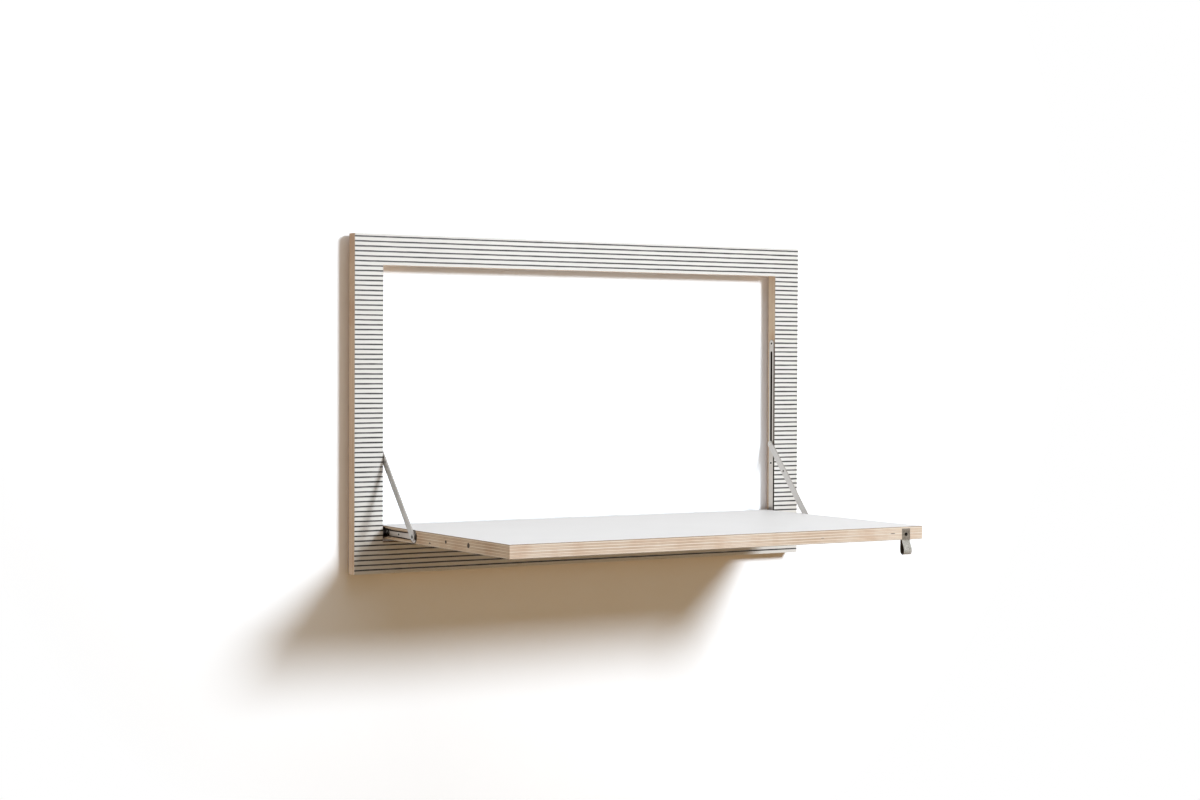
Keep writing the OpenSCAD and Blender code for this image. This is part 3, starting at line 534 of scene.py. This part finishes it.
# Painted shade: the magnets' nickel is dark brown, as in a recess.
nickel = satin_metal("nickel plate", "#3f2c1a", 0.2, stretch=(500, 500, 500), depth=0.04)
mill_aluminium = satin_metal("mill-finish aluminium extrusion", "#c3c5c8", 0.4, stretch=(25, 1200, 1200))
print("the strut rises at", round(degrees(STRUT_SLOPE), 2), "degrees")

# %% [markdown]
# ## Nylon, rubber and felt
# The sliders are turned from black nylon, a tough plastic that runs well on steel, with a soft gloss.
# The buffers are matt black rubber. The strap is pressed wool felt: a web of fibres with no weave. It is
# light grey with darker flecks outside, while its inner layer and its cut edges are dark. Fibres are
# some 0.02 mm thick, far too thin to show, so the flecks are drawn at two thirds of a millimetre. Loose
# ends catch the light at the rim, which the shader's sheen gives. In its notch, where the screw presses
# it flat, the felt is painted darker, as shade in the notch.

# %% Nylon, rubber and felt
NOTCH_LOW, NOTCH_IN = -0.4165, -0.4148      # heights over which the felt darkens into its notch


def moulded(name, colour, rough, grain, depth):
    """Plastic or rubber with a fine grain."""
    material, tree, surface = empty_material(name)
    place = add_node(tree, "ShaderNodeTexCoord").outputs["Object"]
    noise = add_node(tree, "ShaderNodeTexNoise", inputs={"Vector": place, "Scale": grain, "Detail": 3})
    gloss = add_node(tree, "ShaderNodeMapRange", inputs={0: noise, 3: rough - 0.08, 4: rough + 0.08})
    bump = add_node(tree, "ShaderNodeBump", inputs={"Strength": depth, "Distance": 0.0002, "Height": noise})
    shader = add_node(tree, "ShaderNodeBsdfPrincipled", inputs={
        "Base Color": linear(colour), "Roughness": gloss, "Normal": bump})
    tree.links.new(shader.outputs[0], surface)
    return material


def felt(name, light, dark, sheen):
    """Pressed wool felt, flecked from light to dark, and painted darker in its notch, as shade there."""
    material, tree, surface = empty_material(name)
    place = add_node(tree, "ShaderNodeTexCoord").outputs["Object"]
    fleck = add_node(tree, "ShaderNodeTexNoise", inputs={
        "Vector": place, "Scale": 1500, "Detail": 5, "Roughness": 0.7, "Distortion": 1.5})
    tuft = add_node(tree, "ShaderNodeTexNoise", inputs={"Vector": place, "Scale": 330, "Detail": 3})
    mixed = add_node(tree, "ShaderNodeMath", {"operation": "MULTIPLY_ADD"}, {0: tuft, 1: 0.7, 2: fleck})
    tone = add_node(tree, "ShaderNodeMapRange", inputs={0: mixed, 1: 0.62, 2: 1.08})
    wool = add_node(tree, "ShaderNodeMix", {"data_type": "RGBA"},
                    {0: tone, 6: linear(dark), 7: linear(light)})
    axes = add_node(tree, "ShaderNodeSeparateXYZ", inputs={0: place})
    # Painted shade: the felt darkens from NOTCH_LOW up to NOTCH_IN and above, where it lies in its notch.
    pressed = add_node(tree, "ShaderNodeMapRange",
                       inputs={0: axes.outputs["Z"], 1: NOTCH_LOW, 2: NOTCH_IN, 3: 0.0, 4: 1.0})
    whole = add_node(tree, "ShaderNodeMix", {"data_type": "RGBA", "blend_type": "MULTIPLY"},
                     {0: pressed, 6: wool.outputs[2], 7: linear("#c6bcb2")})
    bump = add_node(tree, "ShaderNodeBump", inputs={"Strength": 0.7, "Distance": 0.0004, "Height": mixed})
    shader = add_node(tree, "ShaderNodeBsdfPrincipled", inputs={
        "Base Color": whole.outputs[2], "Roughness": 0.95, "Normal": bump,
        "Sheen Weight": sheen, "Sheen Roughness": 0.5})
    tree.links.new(shader.outputs[0], surface)
    return material


black_nylon = moulded("turned black nylon", "#1b1b1c", 0.4, 900, 0.1)
black_rubber = moulded("matt black rubber", "#151515", 0.75, 700, 0.25)
felt_outside = felt("pressed wool felt, light side", "#dad9d3", "#7d7972", 0.35)
felt_inside = felt("pressed wool felt, dark side", "#45392f", "#271f18", 0.1)
print("made", felt_outside.name, "and", felt_inside.name)

# %% [markdown]
# ## Which part has which finish
# Every solid node takes one of these materials in place of the plain one that it was loaded with.

# %% Finishes of all nodes
finish = {
    "frame_core": frame_birch, "flap_core": flap_birch,
    "frame_face_laminate": lined_frame, "flap_face_laminate": lined_flap,
    "frame_back_laminate": back_brown, "desktop_laminate": desktop_white,
    "latch_studs": black_steel_and_painted_shade, "strap_screw": black_steel_and_painted_shade, "catch_magnets": nickel,
    "frame_rail_screws": screw_plate, "flap_rail_screws": screw_plate,
    "cleat_screws": zinc_plate, "buffer_screws": zinc_plate,
    "wall_cleat": mill_aluminium, "frame_cleat": mill_aluminium,
    "wall_buffers": black_rubber, "pull_strap": felt_outside,
}
for side in ("left", "right"):
    finish |= {
        f"frame_rail_{side}": frame_rail_steel, f"flap_rail_{side}": flap_rail_steel,
        f"strut_{side}": strut_steel, f"slider_{side}": black_nylon,
        f"slider_pin_{side}": turned_steel, f"hinge_pin_{side}": turned_steel,
        f"hinge_bush_{side}": turned_steel, f"elbow_rivet_{side}": turned_steel,
        f"elbow_washer_{side}": zinc_plate, f"strut_rivet_{side}": zinc_plate,
    }
for name, node in nodes.items():
    for material_slot in node.material_slots:
        material_slot.material = finish[name]
print(len(finish), "nodes have a finish")

# %% [markdown]
# ## Eased edges
# No edge on real metal or on a laminate sheet is perfectly sharp: it is deburred or filed, and that
# thin rounded strip catches the light. Each such part gets an eased copy that stands for its solid.
# Operators work on whatever is selected, and loading leaves every node selected, so the copy alone is
# made active first. The solid's mesh is loose triangles, so the copy's doubled points are merged and
# its flat faces are joined. A Bevel modifier then rounds every edge that is sharper than 35 degrees,
# and weighted normals keep the flats flat.

# %% Eased copies
SHARP = radians(35)


def only(piece):
    """Selects this piece and nothing else."""
    bpy.ops.object.select_all(action="DESELECT")
    piece.select_set(True)
    bpy.context.view_layer.objects.active = piece


def eased(name, edge):
    """A copy of a solid node with its sharp edges rounded by edge."""
    solid = nodes[name]
    piece = bpy.data.objects.new(name + "_eased", solid.data.copy())
    bpy.context.collection.objects.link(piece)
    only(piece)
    bpy.ops.mesh.customdata_custom_splitnormals_clear()
    bpy.ops.object.mode_set(mode="EDIT")
    bpy.ops.mesh.select_all(action="SELECT")
    bpy.ops.mesh.remove_doubles(threshold=1e-6)
    bpy.ops.mesh.dissolve_limited(angle_limit=radians(0.4))
    bpy.ops.object.mode_set(mode="OBJECT")
    bevel = piece.modifiers.new("eased edges", "BEVEL")
    bevel.width, bevel.segments = edge, 2
    bevel.limit_method, bevel.angle_limit = "ANGLE", SHARP
    bevel.loop_slide = False
    piece.modifiers.new("even shading", "WEIGHTED_NORMAL")
    bpy.ops.object.shade_smooth_by_angle(angle=SHARP)
    for modifier in list(piece.modifiers):
        bpy.ops.object.modifier_apply(modifier=modifier.name)
    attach(piece, solid["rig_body"])
    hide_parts(name)
    return piece


print("edges sharper than", round(degrees(SHARP)), "degrees will be eased")

# %% [markdown]
# ## The parts that are eased
# A sheet's edge is barely broken, by a tenth or two of a millimetre, and rubber is rounded most. On the
# struts and rails, the faces across the sheet's thickness then get a material of their own: sheared on
# the struts, partly painted shade, and black on the rails, painted shade as inside their slots. The
# right strut's small hole is painted dark too, as the picture shows it: painted shade in the hole.

# %% Ease the hard parts
EASED = {
    "frame_face_laminate": 0.0002, "flap_face_laminate": 0.0002, "desktop_laminate": 0.0002,
    "frame_back_laminate": 0.0002, "latch_studs": 0.0002, "catch_magnets": 0.0005,
    "strap_screw": 0.0003, "frame_rail_screws": 0.00015, "flap_rail_screws": 0.00015,
    "cleat_screws": 0.00015, "buffer_screws": 0.00015, "wall_cleat": 0.0003, "frame_cleat": 0.0003,
    "wall_buffers": 0.0008,
}
for side in ("left", "right"):
    EASED |= {
        f"frame_rail_{side}": 0.00015, f"flap_rail_{side}": 0.0003, f"strut_{side}": 0.0003,
        f"slider_{side}": 0.0003, f"hinge_bush_{side}": 0.0002, f"elbow_rivet_{side}": 0.0002,
        f"elbow_washer_{side}": 0.0001, f"strut_rivet_{side}": 0.00022,
    }
HOLE_Y, HOLE_Z, HOLE_REACH = -0.0561, -0.3297, 0.003    # the strut's small hole, and what counts as in it
# Faces across the thickness: sheared steel, partly painted shade, on the struts, and black as painted shade
# on the rails.
ACROSS = {"strut_left": sheared_steel_with_painted_shade, "strut_right": sheared_steel_with_painted_shade,
          "frame_rail_left": black_steel_and_painted_shade, "frame_rail_right": black_steel_and_painted_shade,
          "flap_rail_left": black_steel_and_painted_shade, "flap_rail_right": black_steel_and_painted_shade}
for name, edge in EASED.items():
    piece = eased(name, edge)
    if name in ACROSS:
        piece.data.materials.append(ACROSS[name])
        piece.data.materials.append(black_steel_and_painted_shade)
        # The right strut's small hole gets black as painted shade.
        for face in piece.data.polygons:
            in_hole = hypot(face.center.y - HOLE_Y, face.center.z - HOLE_Z) < HOLE_REACH
            dark = in_hole and name == "strut_right"
            face.material_index = (1 + dark) * (abs(face.normal.x) < 0.5)
    print(piece.name, len(piece.data.polygons), "faces")

# %% [markdown]
# ## The pull strap
# A strip of felt, nearly 15 mm wide and 2 mm thick, is folded double. Both ends lie in a notch in the
# flap's front edge, where one screw holds them, and the fold hangs below as a loop for a finger. Its
# back layer hangs nearly straight, and the front one bulges and pinches back in at the neck. It is
# modelled as it is folded: a curve runs through the middle of the felt's thickness, down the back
# layer, round the loop, up to the neck and into the notch, and as a mesh line it is extruded over the
# strap's width.

# %% The pull strap
FELT, STRAP_W, STRAP_X = 0.002, 0.0148, 0.3204
WIDTH_STEPS = 18
MIDDLE_LINE = [     # Y and Z of the middle of the felt's thickness, and the way to the next handle
    (-0.4051, -0.3987, 0, -0.004), (-0.4051, -0.4165, 0, -0.004), (-0.4047, -0.4285, 0, -0.0042),
    (-0.4086, -0.4361, -0.0022, 0), (-0.4123, -0.4303, 0.0001, 0.0034), (-0.4073, -0.4165, 0.0005, 0.003),
    (-0.4072, -0.3987, 0, 0.004)]
left_edge = STRAP_X - STRAP_W / 2
bpy.ops.curve.primitive_bezier_curve_add(radius=0.01, location=(0, 0, 0))
line = bpy.context.object
bend = line.data.splines[0]
bend.bezier_points.add(len(MIDDLE_LINE) - 2)
for point, (y, z, to_y, to_z) in zip(bend.bezier_points, MIDDLE_LINE):
    point.handle_left_type = point.handle_right_type = "FREE"
    point.co = (left_edge, y, z)
    point.handle_left = (left_edge, y - to_y, z - to_z)
    point.handle_right = (left_edge, y + to_y, z + to_z)
bend.resolution_u = 14
bpy.ops.object.convert(target="MESH")
strap = bpy.context.object
strap.name = "felt_pull_strap"
bpy.ops.object.mode_set(mode="EDIT")
bpy.ops.mesh.select_all(action="SELECT")
for _ in range(WIDTH_STEPS):
    bpy.ops.mesh.extrude_region_move(TRANSFORM_OT_translate={"value": (STRAP_W / WIDTH_STEPS, 0, 0)})
bpy.ops.mesh.select_all(action="SELECT")
bpy.ops.mesh.flip_normals()
bpy.ops.object.mode_set(mode="OBJECT")
print("its back layer faces", list(strap.data.polygons[0].normal))

# %% [markdown]
# ## The strap's thickness
# Solidify gives the felt its thickness, half to each side of the line, and puts the dark side inside
# and on the cut edges. The strap then rides on the flap and stands for its solid.

# %% The strap's thickness and its two sides
LAYER_ROOM = 0.00006        # taken off the thickness, for a little more room between the two layers
strap.data.materials.append(felt_outside)
strap.data.materials.append(felt_inside)
thick = strap.modifiers.new("thickness", "SOLIDIFY")
thick.thickness, thick.offset = FELT - LAYER_ROOM, 0
thick.material_offset = thick.material_offset_rim = 1
only(strap)
bpy.ops.object.modifier_apply(modifier=thick.name)
bpy.ops.object.shade_smooth_by_angle(angle=radians(50))
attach(strap, "flap")
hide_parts("pull_strap")
print(strap.name, len(strap.data.polygons), "faces")
